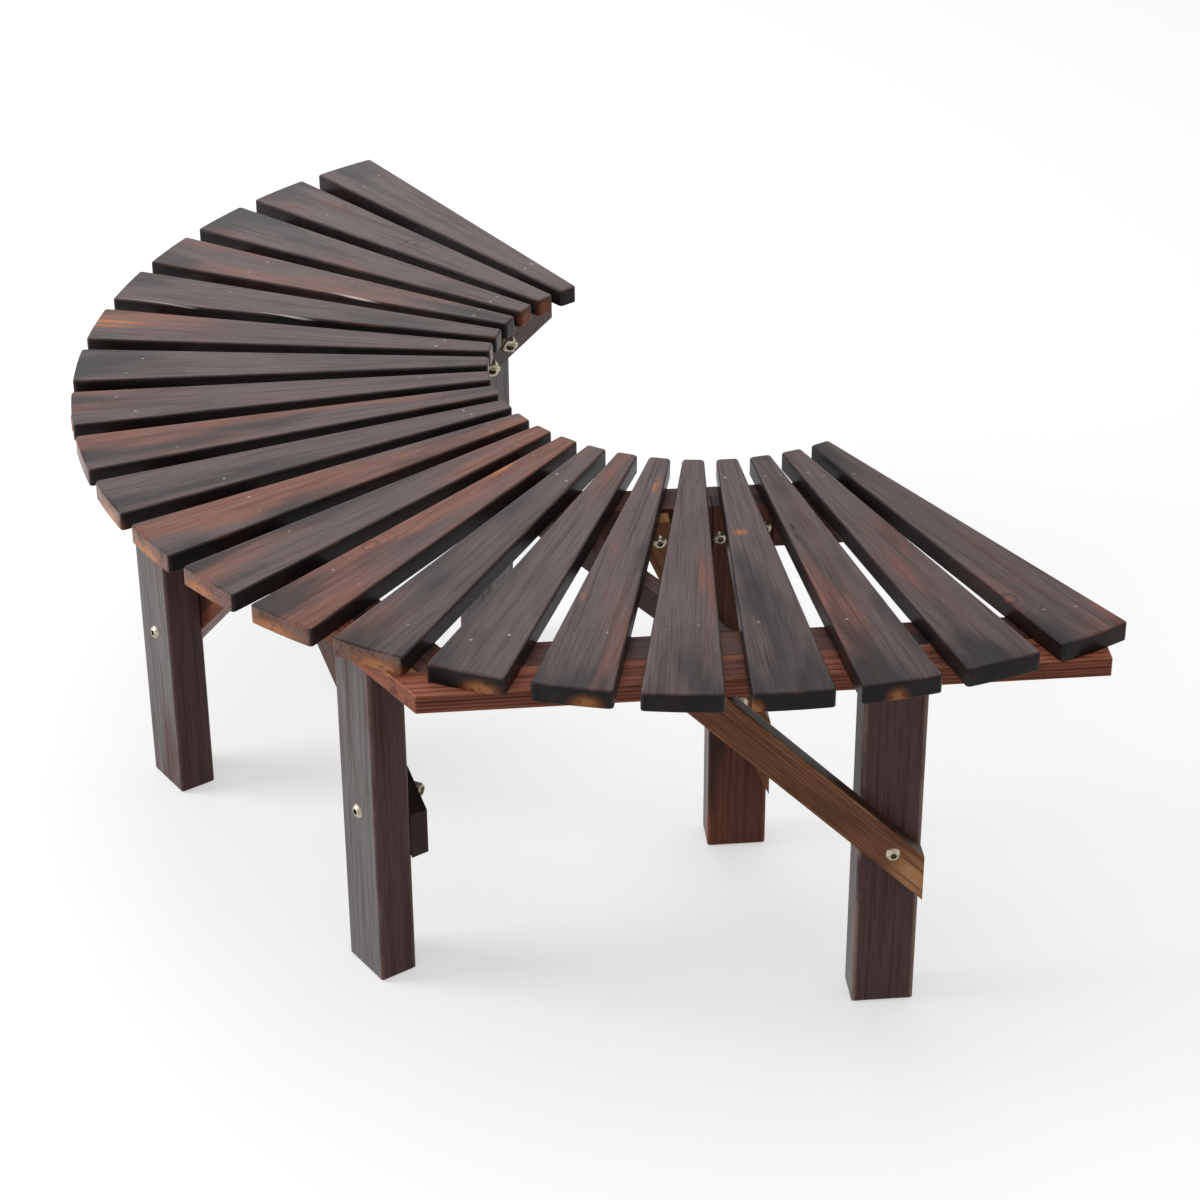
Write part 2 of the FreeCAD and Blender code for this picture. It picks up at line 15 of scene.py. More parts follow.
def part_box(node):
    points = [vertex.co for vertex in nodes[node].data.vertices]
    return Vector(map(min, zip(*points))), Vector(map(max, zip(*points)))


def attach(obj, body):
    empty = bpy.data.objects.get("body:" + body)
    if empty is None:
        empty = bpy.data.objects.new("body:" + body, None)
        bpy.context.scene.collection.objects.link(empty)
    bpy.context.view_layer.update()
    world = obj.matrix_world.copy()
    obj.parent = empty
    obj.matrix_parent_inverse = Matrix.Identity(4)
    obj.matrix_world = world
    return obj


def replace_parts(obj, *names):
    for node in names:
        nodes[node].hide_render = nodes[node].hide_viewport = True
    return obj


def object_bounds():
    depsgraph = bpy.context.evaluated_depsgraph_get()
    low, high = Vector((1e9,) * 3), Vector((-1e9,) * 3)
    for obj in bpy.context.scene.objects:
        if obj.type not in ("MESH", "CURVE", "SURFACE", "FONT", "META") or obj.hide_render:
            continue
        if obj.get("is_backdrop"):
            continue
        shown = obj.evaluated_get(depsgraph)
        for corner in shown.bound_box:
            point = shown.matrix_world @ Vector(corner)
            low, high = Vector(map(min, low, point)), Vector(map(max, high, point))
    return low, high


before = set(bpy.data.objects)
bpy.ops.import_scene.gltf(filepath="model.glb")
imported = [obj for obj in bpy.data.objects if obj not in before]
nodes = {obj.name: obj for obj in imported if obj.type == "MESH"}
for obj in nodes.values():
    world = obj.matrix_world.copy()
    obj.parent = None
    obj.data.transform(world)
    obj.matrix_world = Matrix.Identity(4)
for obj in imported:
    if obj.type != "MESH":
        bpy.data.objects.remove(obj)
cad_low, cad_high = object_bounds()

# Sizes of the bench, with angles in degrees

SEAT_RADIUS = 0.650
INNER_RADIUS = 0.219
SLAT_COUNT = 21
SLAT_OUTER_WIDE = 0.075
SLAT_INNER_WIDE = 0.0215
SLAT_THICK = 0.019
FRAME_DEEP = 0.040
LEG_WIDE = 0.060
OUTER_FACE = 0.553
INNER_FACE = 0.281
BRACE_THICK = 0.019
TIE_THICK = 0.019
TIE_START = 0.060
TIE_HIGH = 0.028
RAIL_THICK = 0.019
OUTER_BEAM_HIGH = 0.042
MIDDLE_LEG_ALONG = 0.201
SIDE_LEG_ALONG = 0.118
BRACE_BOLT_HIGH = 0.188
INNER_BRACE_SLOPE = 66.5
BRACE_SLOPE = 45
HALF_CORNER = 30
SIDE_SIGN = {"left": -1, "right": 1}
SECTION_TURN = {"left": -90 - 2 * HALF_CORNER, "middle": -90, "right": -90 + 2 * HALF_CORNER}
SEAT_HIGH = cad_high.z
SLAT_UNDER = SEAT_HIGH - SLAT_THICK
OUTER_BACK = OUTER_FACE - FRAME_DEEP
TREE = Vector((0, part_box("slat_11")[0].y + SEAT_RADIUS, 0))

slat_half_angle = math.degrees(math.asin(SLAT_OUTER_WIDE / 2 / SEAT_RADIUS))
slat_pitch = (180 - 2 * slat_half_angle) / (SLAT_COUNT - 1)
slat_taper = (SLAT_OUTER_WIDE - SLAT_INNER_WIDE) / 2 / (SEAT_RADIUS - INNER_RADIUS)


def slat_turn(number):
    return -180 + slat_half_angle + (number - 1) * slat_pitch


def axes(turn, outward, along, high):
    """Matrix of local axes: x outward from the tree, y along the section, z up."""
    spin = Matrix.Rotation(math.radians(turn), 4, "Z")
    return Matrix.Translation(TREE) @ spin @ Matrix.Translation((outward, along, high))


def linked(name, data):
    """A new object in the scene."""
    made = bpy.data.objects.new(name, data)
    bpy.context.scene.collection.objects.link(made)
    return made


# Node trees

MIX_SHARE, MIX_FIRST, MIX_SECOND, MIX_RESULT = 0, 6, 7, 2
SPOT_FADE = (1.0, 0.2)


class Shader:
    """The node tree of a material or of the world, built by short calls."""

    def __init__(self, owner):
        self.owner = owner
        owner.use_nodes = True
        self.tree = owner.node_tree
        self.tree.nodes.clear()

    def add(self, kind, inputs=None, **settings):
        """A new node, whose inputs are given values, or sockets to link them to."""
        made = self.tree.nodes.new("ShaderNode" + kind)
        for key, value in settings.items():
            setattr(made, key, value)
        for key, value in (inputs or {}).items():
            self.feed(made.inputs[key], value)
        return made

    def feed(self, socket, value):
        if isinstance(value, bpy.types.NodeSocket):
            self.tree.links.new(value, socket)
        else:
            socket.default_value = value

    def math(self, operation, first, second=0.0):
        return self.add("Math", {0: first, 1: second}, operation=operation).outputs[0]

    def times(self, first, second):
        return self.math("MULTIPLY", first, second)

    def plus(self, value, weight, base):
        """The base, and the value times its weight."""
        made = self.add("Math", {0: value, 1: weight, 2: base}, operation="MULTIPLY_ADD")
        return made.outputs[0]

    def vector(self, operation, first, second):
        return self.add("VectorMath", {0: first, 1: second}, operation=operation).outputs[0]

    def dot(self, first, second):
        made = self.add("VectorMath", {0: first, 1: second}, operation="DOT_PRODUCT")
        return made.outputs["Value"]

    def parts(self, vector):
        """The x, y and z of a vector."""
        return self.add("SeparateXYZ", {"Vector": vector}).outputs

    def noise(self, place, stretch, detail=3.0, roughness=0.55):
        """Noise from 0 to 1; stretch is how many changes it has per metre along each axis."""
        stretched = self.vector("MULTIPLY", place, stretch)
        inputs = {"Vector": stretched, "Scale": 1.0, "Detail": detail, "Roughness": roughness}
        return self.add("TexNoise", inputs).outputs["Fac"]

    def between(self, value, low, high):
        """0 at low, 1 at high, and smooth between them; low may be the larger one."""
        inputs = {"Value": value, "From Min": low, "From Max": high}
        return self.add("MapRange", inputs, interpolation_type="SMOOTHSTEP").outputs[0]

    def zone(self, noise, amount, start, move, wide):
        """A mask of the high places of a noise, which are larger for a larger amount."""
        low = start - move * amount
        return self.between(noise, low, low + wide)

    def mix(self, share, first, second, blend="MIX"):
        inputs = {MIX_SHARE: share, MIX_FIRST: first, MIX_SECOND: second}
        return self.add("Mix", inputs, data_type="RGBA", blend_type=blend).outputs[MIX_RESULT]

    def tint(self, tone, mask, share, second, blend="MIX"):
        """The tone moved towards a second one, by a share, where the mask is 1."""
        return self.mix(self.times(mask, share), tone, second, blend)

    def spot(self, place, centre, reach):
        """1 near the centre of an ellipse, 0 at its rim and beyond."""
        offset = self.vector("SUBTRACT", place, centre)
        scaled = self.vector("DIVIDE", offset, reach)
        far = self.add("VectorMath", {0: scaled}, operation="LENGTH").outputs["Value"]
        return self.between(far, *SPOT_FADE)

    def skin(self, surface):
        """The material, finished with a principled surface."""
        made = self.add("BsdfPrincipled", surface)
        self.add("OutputMaterial", {"Surface": made.outputs[0]})
        return self.owner


def colour(red, green, blue):
    return (red, green, blue, 1.0)


def grey(level):
    return colour(level, level, level)


# Wood
# The grain is a solid texture in the piece's own axes: x runs along the grain.
# The boards were scorched, brushed and oiled: a flame left soot on sides, ends and in long zones.
# On the slats' sides that near-black also stands for painted shade from the narrow gaps between
# them.

# charcoal soot, and also the tone of the painted gap shade on the slats' sides
SOOT = colour(0.012, 0.010, 0.011)
MAUVE = colour(0.128, 0.088, 0.087)
RED_BROWN = colour(0.255, 0.102, 0.070)
COCOA = colour(0.300, 0.175, 0.140)
LEG_GREY = colour(0.195, 0.176, 0.177)
# also the tone of the painted shade on the outer legs' faces towards +X
LEG_BROWN = colour(0.122, 0.056, 0.047)
DARK_BROWN = colour(0.050, 0.024, 0.018)
WALNUT = colour(0.220, 0.085, 0.052)
CHESTNUT = colour(0.380, 0.130, 0.080)
RUSSET = colour(0.560, 0.190, 0.100)
WORN_BROWN = colour(0.360, 0.240, 0.200)
HONEY = colour(0.350, 0.150, 0.075)
GOLD = colour(0.700, 0.360, 0.140)
BURNT_ORANGE = colour(0.520, 0.170, 0.055)
PALE_ORANGE = colour(0.780, 0.400, 0.180)
# pale colour of the painted highlights along slat edges
GLINT_PALE = colour(0.720, 0.660, 0.620)
LATE_SHADE = colour(0.38, 0.30, 0.28)
FIBRE_SHADE = colour(0.62, 0.56, 0.54)
PORE_SHADE = colour(0.30, 0.25, 0.24)
RUST = colour(0.300, 0.080, 0.032)
# near-black painted shade inside the cracks
CRACK_SHADE = colour(0.004, 0.003, 0.003)


@dataclass
class Finish:
    """Colours and surface of one kind of wood.

    Warmth and soot say how much of it is warm or sooty. Bare says how much of its edges is rubbed
    down to the worn tone, rim how far in that reaches, and corner how strongly the worn tone shows
    along the upright edges of a leg. Grain is the contrast of the ring lines, spacing their
    distance apart, and pith how near and how far off the tree's heart may have been. Rough is the
    mean roughness, and relief the strength of the bumps.
    """
    plain: tuple
    warm: tuple
    burnt: tuple
    worn: tuple
    end: tuple
    warmth: float = 0.5
    soot: float = 0.5
    grain: float = 0.4
    rough: float = 0.42
    relief: float = 0.35
    bare: float = 0.3
    rim: float = 0.0022
    spacing: float = 0.0042
    pith: tuple = (0.020, 0.055)
    corner: float = 0.0


def slat_finish(warmth, soot, end):
    return Finish(MAUVE, RED_BROWN, SOOT, BURNT_ORANGE, end, warmth, soot,
                  grain=0.24, rough=0.36, relief=0.28)


LEG = Finish(LEG_GREY, LEG_BROWN, DARK_BROWN, WORN_BROWN, SOOT, 0.20, 0.12,
             grain=0.14, bare=0.9, corner=0.25)
WORN_LEG = replace(LEG, corner=0.75)
SOOTY_LEG = replace(LEG, soot=0.55, corner=0.0)
WARM_LEG = Finish(WALNUT, CHESTNUT, DARK_BROWN, BURNT_ORANGE, SOOT, 0.50, 0.50)
BEAM = Finish(LEG_BROWN, WALNUT, DARK_BROWN, CHESTNUT, SOOT, 0.50, 0.50, rough=0.46)
RAIL = Finish(CHESTNUT, RUSSET, DARK_BROWN, PALE_ORANGE, CHESTNUT, 0.65, 0.15,
              grain=0.85, rough=0.60, relief=0.7, bare=0.9, spacing=0.0032)
BRACE = Finish(HONEY, GOLD, DARK_BROWN, PALE_ORANGE, GOLD, 0.42, 0.10, grain=0.65, rough=0.48,
               relief=0.5, bare=0.6, rim=0.0045, spacing=0.0030, pith=(0.030, 0.050))
DARK_BRACE = Finish(LEG_BROWN, CHESTNUT, DARK_BROWN, BURNT_ORANGE, GOLD, 0.50, 0.40, grain=0.60,
                    relief=0.4, rim=0.0045, spacing=0.0030, pith=(0.030, 0.050))

# Noises: changes per metre along, across and through the board, then detail and roughness

BEND = ((2.2, 9.0, 9.0), 2.0, 0.55)
FIBRES = ((26.0, 760.0, 760.0), 3.0, 0.6)
STREAKS = ((4.5, 130.0, 130.0), 3.0, 0.6)
BROAD = ((3.0, 16.0, 16.0), 3.0, 0.55)
PORES = ((7.0, 420.0, 420.0), 2.0, 0.5)
FLAME = ((4.0, 17.0, 17.0), 3.0, 0.52)
BLOTCHES = ((16.0, 38.0, 38.0), 3.0, 0.6)
NOISE_SHIFT = (2, 9)
SECOND_SHIFT = 1.7

# Growth rings: how far aside the pith may be and lean, and how noise and knots bend them

PITH_ASIDE = 0.02
PITH_LEAN = 0.025
RING_BEND = 0.010
KNOT_SWAY = 0.011
KNOT_SWAY_REACH = 3.2
RING_WARP = {"Distortion": 0.8, "Detail": 2.0, "Detail Scale": 2.0}

# Zones: where in its noise each starts, how far its amount moves that, and how soft its rim is

WARM_ZONE = (0.61, 0.20, 0.17)
SOOT_ZONE = (0.560, 0.12, 0.19)
BARE_ZONE = (0.58, 0.20, 0.16)
WARM_STREAKS = 0.30
SOOT_SHARE = 0.88
END_SOOT = 0.084
END_SOOT_LONG = 0.085
END_SPAN = (0.75, 0.95)
END_SHARE = 0.85
END_BLOTCHES = (0.48, 0.66)
END_BLOTCH_SHARE = 0.7
FACE_SPAN = (0.35, 0.85)

# Lines of the grain: the part of their texture that shows, and how strongly

LATE_SPAN = (0.45, 0.98)
STREAK_SPAN = (0.50, 0.70)
STREAK_SHARE = 0.35
STREAK_GRAIN = 0.45
FIBRE_SPAN = (0.35, 0.72)
FIBRE_SHARE = 0.75
PORE_SPAN = (0.54, 0.68)
PORE_SHARE = 0.55

# Edges: the turn of the surface that counts as one, and how strongly it is rubbed down

EDGE_SAMPLES = 4
EDGE_SPAN = (0.995, 0.90)
EDGE_SHARE = 0.7
CORNER_START = 0.0052
CORNER_FULL = 0.0022
CORNER_PATCHES = (0.36, 0.54)

# Marks: the streaks that break them up, the parts of their spots, and how strongly they show

# one kind of mark paints a highlight: a pale broken line along an edge
KNOT, PATCH, GLOW, CRACK, GLINT, STAIN = "knot", "patch", "glow", "crack", "painted_glint", "stain"
PATCH_STREAKS = (0.36, 0.58)
PATCH_SHARE = 0.85
GLOW_STREAKS = (0.22, 0.52)
GLOW_SHARE = 0.68
GLOW_HEART = (0.5, 1.0)
GLOW_HEART_SHARE = 0.22
KNOT_RIM = (0.0, 0.35)
KNOT_INSIDE = (0.9, 0.4)
KNOT_RING_SHARE = 0.45
KNOT_HEART = (0.45, 0.9)
KNOT_HEART_SHARE = 0.22
STAIN_SHARE = 0.8
# for the painted highlights along slat edges
GLINT_STREAKS = (0.40, 0.50)
GLINT_SHARE = 0.75
CRACK_SPAN = (0.12, 0.35)

# Surface: how much each texture adds to the height of the bumps and to the roughness

FIBRE_HEIGHT = 0.45
PORE_HEIGHT = -0.45
STREAK_HEIGHT = 0.35
RING_HEIGHT = 0.30
RELIEF_DEEP = 0.0008
FIBRE_MATT = 0.20
STREAK_MATT = 0.16
SOOT_MATT = -0.05
SHINE = 0.15


class Board:
    """The wood of one piece: its label, grain axes, finish, seed, toned faces and marks.

    A toned face is (direction, tone, share, both ways), and a mark (kind, centre, reach) in the
    grain axes. The axes of a tapered board, a slat, start at the tree.
    """

    def __init__(self, label, local, finish, seed, faces=(), marks=(), tapered=False):
        self.label = label
        self.local = local
        self.finish = finish
        self.chance = random.Random(seed)
        self.faces = faces
        self.marks = marks
        self.tapered = tapered
        low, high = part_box(label)
        self.middle = Vector() if tapered else local.inverted() @ ((low + high) / 2)
        self.shader = Shader(bpy.data.materials.new(label + "_wood"))
        self.place = self.in_grain_axes()

    def in_grain_axes(self):
        """Where a point of the surface is in the grain axes."""
        spin = self.local.to_euler()
        own = {"Vector": self.shader.add("TexCoord").outputs["Object"],
               "Location": self.local.to_translation(), "Rotation": (spin.x, spin.y, spin.z)}
        return self.shader.add("Mapping", own, vector_type="TEXTURE").outputs[0]

    def rings(self, bend):
        """Growth rings about a pith that leans along the board, and that knots push aside."""
        shader, chance = self.shader, self.chance
        pith_across = chance.uniform(-PITH_ASIDE, PITH_ASIDE)
        pith_deep = chance.choice((-1, 1)) * chance.uniform(*self.finish.pith)
        lean = chance.uniform(-PITH_LEAN, PITH_LEAN)
        parts = shader.parts(shader.vector("SUBTRACT", self.place, self.middle))
        swell = shader.times(bend, RING_BEND)
        for kind, centre, reach in self.marks:
            if kind == KNOT:
                swayed = tuple(value * KNOT_SWAY_REACH for value in reach)
                swell = shader.plus(shader.spot(self.place, centre, swayed), KNOT_SWAY, swell)
        deep = shader.plus(parts[0], lean, parts[2])
        deep = shader.math("ADD", deep, shader.math("ADD", swell, pith_deep))
        across = shader.math("ADD", parts[1], pith_across)
        about_pith = shader.add("CombineXYZ", {"X": parts[0], "Y": across, "Z": deep}).outputs[0]
        # At scale 1 the texture has 10 rings in pi metres
        inputs = {"Vector": about_pith, "Scale": math.pi / (10 * self.finish.spacing), **RING_WARP}
        return shader.add("TexWave", inputs, wave_type="RINGS", rings_direction="X",
                          wave_profile="SAW").outputs["Fac"]

    def leg_corner(self):
        """1 along the upright edges of a leg."""
        shader = self.shader
        parts = shader.parts(shader.vector("SUBTRACT", self.place, self.middle))
        near = []
        for part, half in ((parts[1], LEG_WIDE / 2), (parts[2], FRAME_DEEP / 2)):
            off = shader.math("ABSOLUTE", part)
            near.append(shader.between(off, half - CORNER_START, half - CORNER_FULL))
        return shader.times(*near)

    def faced(self, tone, blotches):
        """The tone, with the end grain's and that of the faces that are toned apart."""
        shader = self.shader
        face = shader.add("TexCoord").outputs["Normal"]
        grain_way = self.local.to_3x3() @ Vector((1, 0, 0))
        end_face = shader.between(shader.math("ABSOLUTE", shader.dot(face, grain_way)), *END_SPAN)
        tone = shader.tint(tone, end_face, END_SHARE, self.finish.end)
        sooty_end = shader.times(end_face, shader.between(blotches, *END_BLOTCHES))
        tone = shader.tint(tone, sooty_end, END_BLOTCH_SHARE, SOOT)
        for direction, shade, share, both_ways in self.faces:
            facing = shader.dot(face, direction)
            if both_ways:
                facing = shader.math("ABSOLUTE", facing)
            tone = shader.tint(tone, shader.between(facing, *FACE_SPAN), share, shade)
        return tone

    def rubbed(self, tone, rounded, blotches):
        """The tone, rubbed down to clean wood in places along the edges."""
        shader, finish = self.shader, self.finish
        flat = shader.add("NewGeometry").outputs["Normal"]
        edge = shader.between(shader.dot(rounded, flat), *EDGE_SPAN)
        worn = shader.times(edge, shader.zone(blotches, finish.bare, *BARE_ZONE))
        tone = shader.tint(tone, worn, EDGE_SHARE, finish.worn)
        if finish.corner:
            patchy = shader.times(self.leg_corner(), shader.between(blotches, *CORNER_PATCHES))
            tone = shader.tint(tone, patchy, finish.corner, finish.worn)
        return tone

    def marked(self, tone, streaks):
        """The tone, with the board's marks painted over it, and the mask of its cracks or None."""
        shader = self.shader
        hollow = None
        for kind, centre, reach in self.marks:
            mask = shader.spot(self.place, centre, reach)
            if kind == PATCH:
                ragged = shader.times(mask, shader.between(streaks, *PATCH_STREAKS))
                tone = shader.tint(tone, ragged, PATCH_SHARE, self.finish.worn)
            elif kind == GLOW:
                uneven = shader.times(mask, shader.between(streaks, *GLOW_STREAKS))
                tone = shader.tint(tone, uneven, GLOW_SHARE, self.finish.worn)
                heart = shader.between(uneven, *GLOW_HEART)
                tone = shader.tint(tone, heart, GLOW_HEART_SHARE, PALE_ORANGE)
            elif kind == KNOT:
                ring = shader.times(shader.between(mask, *KNOT_RIM),
                                    shader.between(mask, *KNOT_INSIDE))
                tone = shader.tint(tone, ring, KNOT_RING_SHARE, SOOT)
                heart = shader.between(mask, *KNOT_HEART)
                tone = shader.tint(tone, heart, KNOT_HEART_SHARE, CHESTNUT)
            elif kind == STAIN:
                tone = shader.tint(tone, mask, STAIN_SHARE, RUST)
            # a painted highlight: a pale broken line along the edge
            elif kind == GLINT:
                broken = shader.times(mask, shader.between(streaks, *GLINT_STREAKS))
                tone = shader.tint(tone, broken, GLINT_SHARE, GLINT_PALE)
            else:
                # painted shade: the split is painted near-black, and also sunk in the bumps
                gap = shader.between(mask, *CRACK_SPAN)
                tone = shader.mix(gap, tone, CRACK_SHADE)
                hollow = gap if hollow is None else shader.math("MAXIMUM", hollow, gap)
        return tone, hollow

    def material(self):
        """The wood's material, from its broad zones down to its fibres and marks."""
        shader, finish = self.shader, self.finish
        shift = Vector([self.chance.uniform(*NOISE_SHIFT) for axis in range(3)])
        strewn = shader.vector("ADD", self.place, shift)
        other = shader.vector("ADD", self.place, shift * SECOND_SHIFT)
        rings = self.rings(shader.noise(strewn, *BEND))
        fibres = shader.noise(strewn, *FIBRES)
        streaks = shader.noise(strewn, *STREAKS)
        broad = shader.noise(strewn, *BROAD)
        pores = shader.noise(other, *PORES)
        flame = shader.noise(other, *FLAME)
        blotches = shader.noise(other, *BLOTCHES)

        # Warm and sooty zones
        warm = shader.plus(streaks, WARM_STREAKS, shader.math("ADD", broad, -WARM_STREAKS / 2))
        tone = shader.mix(shader.zone(warm, finish.warmth, *WARM_ZONE), finish.plain, finish.warm)
        if self.tapered:
            outward = shader.parts(self.place)[0]
            near_end = shader.between(outward, SEAT_RADIUS - END_SOOT_LONG, SEAT_RADIUS)
            flame = shader.plus(near_end, END_SOOT, flame)
        scorched = shader.zone(flame, finish.soot, *SOOT_ZONE)
        tone = shader.tint(tone, scorched, SOOT_SHARE, finish.burnt)
        tone = self.faced(tone, blotches)

        # Latewood lines, streaks, fibres and pores
        streak_share = STREAK_SHARE + finish.grain * STREAK_GRAIN
        for lines, span, share, shade in ((rings, LATE_SPAN, finish.grain, LATE_SHADE),
                                          (streaks, STREAK_SPAN, streak_share, LATE_SHADE),
                                          (fibres, FIBRE_SPAN, FIBRE_SHARE, FIBRE_SHADE),
                                          (pores, PORE_SPAN, PORE_SHARE, PORE_SHADE)):
            tone = shader.tint(tone, shader.between(lines, *span), share, shade, "MULTIPLY")

        rounded = shader.add("Bevel", {"Radius": finish.rim}, samples=EDGE_SAMPLES).outputs[0]
        tone = self.rubbed(tone, rounded, blotches)
        tone, hollow = self.marked(tone, streaks)

        height = shader.plus(fibres, FIBRE_HEIGHT, shader.times(pores, PORE_HEIGHT))
        height = shader.plus(streaks, STREAK_HEIGHT, shader.plus(rings, RING_HEIGHT, height))
        if hollow is not None:
            height = shader.math("SUBTRACT", height, hollow)
        relief = {"Strength": finish.relief, "Distance": RELIEF_DEEP, "Height": height,
                  "Normal": rounded}
        bump = shader.add("Bump", relief).outputs[0]
        mean = (FIBRE_MATT + STREAK_MATT) / 2
        matt = shader.plus(streaks, STREAK_MATT, finish.rough - mean)
        matt = shader.plus(scorched, SOOT_MATT, shader.plus(fibres, FIBRE_MATT, matt))
        return shader.skin({"Base Color": tone, "Roughness": matt, "Specular IOR Level": SHINE,
                            "Normal": bump})


# Wooden pieces; corners nearer than SAME_CORNER are one, and angles are in degrees

ROUNDING = 0.0006
BRACE_ROUNDING = 0.0020
SAME_CORNER = 0.00001
SHARP_EDGE = 25
FLAT = 0.2


def dress(board, rounding=ROUNDING):
    """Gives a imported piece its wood, and softly rounded edges."""
    piece = nodes[board.label]
    wood = board.material()
    if not piece.material_slots:
        piece.data.materials.append(wood)
    for slot in piece.material_slots:
        slot.material = wood
    weld = piece.modifiers.new("weld", "WELD")
    weld.merge_threshold = SAME_CORNER
    joined = piece.modifiers.new("join_flat_faces", "DECIMATE")
    joined.decimate_type = "DISSOLVE"
    joined.angle_limit = math.radians(FLAT)
    bevel = piece.modifiers.new("round", "BEVEL")
    bevel.width = rounding
    bevel.segments = 2
    bevel.limit_method = "ANGLE"
    bevel.angle_limit = math.radians(SHARP_EDGE)
    bevel.loop_slide = False
    piece.modifiers.new("even_shading", "WEIGHTED_NORMAL")


# How warm and how sooty each slat is, from slat 1 at the left end to slat 21 at the right end.
# Their sides are near-black, soot together with painted shade from the gaps, and their ends are
# sooty, apart from the brown ones.

SLAT_WARMTH = (0.30, 0.15, 0.35, 0.95, 0.15, 0.50, 0.25, 0.55, 0.65, 0.20, 0.75,
               0.95, 0.65, 0.30, 0.45, 0.65, 0.10, 0.35, 0.35, 0.45, 0.60)
SLAT_SOOT = (-0.35, -0.10, 0.60, 0.30, 0.55, 0.50, 0.65, 0.10, 0.20, 0.80, 0.45,
             0.40, 0.40, 0.80, 0.70, 0.45, 0.90, 0.12, 0.40, 0.20, 0.60)
SIDE_SOOT_AND_SHADE = 0.85
BROWN_ENDS = range(6, 15)

# Marks on a slat's top: kind, distance from the tree, place across, and reach along and across

MARK_DEEP = 0.012
# how deep the painted edge highlights reach
GLINT_DEEP = 0.0035
SLAT_MARKS = {
    2: [(KNOT, 0.429, -0.001, 0.010, 0.006), (KNOT, 0.556, -0.024, 0.007, 0.005)],
    # slats 4 and 5: painted highlights as pale lines along their edges
    4: [(KNOT, 0.421, -0.014, 0.009, 0.005), (GLINT, 0.392, 0.0210, 0.046, 0.0022)],
    5: [(GLINT, 0.560, 0.0316, 0.090, 0.0015), (GLINT, 0.440, 0.0240, 0.070, 0.0014)],
    6: [(PATCH, 0.640, -0.006, 0.060, 0.020)],
    13: [(KNOT, 0.502, -0.019, 0.014, 0.008), (PATCH, 0.312, -0.014, 0.030, 0.006)],
    16: [(PATCH, 0.277, 0.008, 0.026, 0.006), (PATCH, 0.493, -0.022, 0.016, 0.004)],
    18: [(PATCH, 0.366, -0.008, 0.007, 0.010), (CRACK, 0.592, -0.016, 0.034, 0.0008)],
    19: [(CRACK, 0.364, -0.012, 0.011, 0.0018), (CRACK, 0.384, -0.0135, 0.007, 0.0014)],
    20: [(CRACK, 0.430, 0.004, 0.060, 0.0006)],
    21: [(KNOT, 0.559, -0.028, 0.012, 0.009)]}

# Burns on the slats' outer ends: place across and reach across

END_BURNS = {6: (-0.024, 0.012), 10: (0.010, 0.030), 11: (-0.006, 0.036), 12: (-0.012, 0.032),
             13: (-0.010, 0.038), 14: (0.010, 0.032), 15: (0.015, 0.020), 16: (0.013, 0.016),
             18: (-0.034, 0.008), 19: (-0.005, 0.011)}
BURN_WIDER = 1.3
BURN_LONG = 0.014
BURN_DEEP = 0.015
BURN_RISE = 0.002
RUSTY_INNER_ENDS = (2, 3)
RUST_PLACE = (INNER_RADIUS, 0.002, SLAT_UNDER + 0.006)
RUST_REACH = (0.010, 0.018, 0.017)


def slat_marks(number):
    """Marks on a slat's top and on its ends."""
    marks = []
    for kind, outward, across, long, wide in SLAT_MARKS.get(number, ()):
        deep = GLINT_DEEP if kind == GLINT else MARK_DEEP
        marks.append((kind, (outward, across, SEAT_HIGH), (long, wide, deep)))
    if number in END_BURNS:
        across, wide = END_BURNS[number]
        marks.append((GLOW, (SEAT_RADIUS, across, SLAT_UNDER + BURN_RISE),
                      (BURN_LONG, wide * BURN_WIDER, BURN_DEEP)))
    if number in RUSTY_INNER_ENDS:
        marks.append((STAIN, RUST_PLACE, RUST_REACH))
    return marks


for number in range(1, SLAT_COUNT + 1):
    grain = axes(slat_turn(number), 0, 0, 0)
    end = COCOA if number in BROWN_ENDS else SOOT
    look = slat_finish(SLAT_WARMTH[number - 1], SLAT_SOOT[number - 1], end)
    # the long sides: soot and painted shade from the gaps between slats
    sides = [(grain.to_3x3() @ Vector((0, 1, 0)), SOOT, SIDE_SOOT_AND_SHADE, True)]
    dress(Board("slat_%02d" % number, grain, look, number, sides, slat_marks(number), tapered=True))


def along_section(section):
    """Axes of a piece whose grain runs along its section."""
    return axes(SECTION_TURN[section], 0, 0, 0) @ Matrix.Rotation(math.pi / 2, 4, "Z")


def upright(section):
    """Axes of a leg, whose grain runs up."""
    return axes(SECTION_TURN[section], 0, 0, 0) @ Matrix.Rotation(-math.pi / 2, 4, "Y")


def sloping(section, slope):
    """Axes of a brace, which climbs at a slope in degrees along its section."""
    return along_section(section) @ Matrix.Rotation(math.radians(slope), 4, "Y")


FIRST_FRAME_SEED = 101
seeds = count(FIRST_FRAME_SEED)
for section in SECTION_TURN:
    for kind, look in (("outer_beam_", BEAM), ("inner_beam_", BEAM), ("outer_rail_", RAIL)):
        dress(Board(kind + section, along_section(section), look, next(seeds)))

# The outer legs' faces towards +X are toned darker and browner: painted shade on the side away from
# the key lamp, over a browner tone of the wood

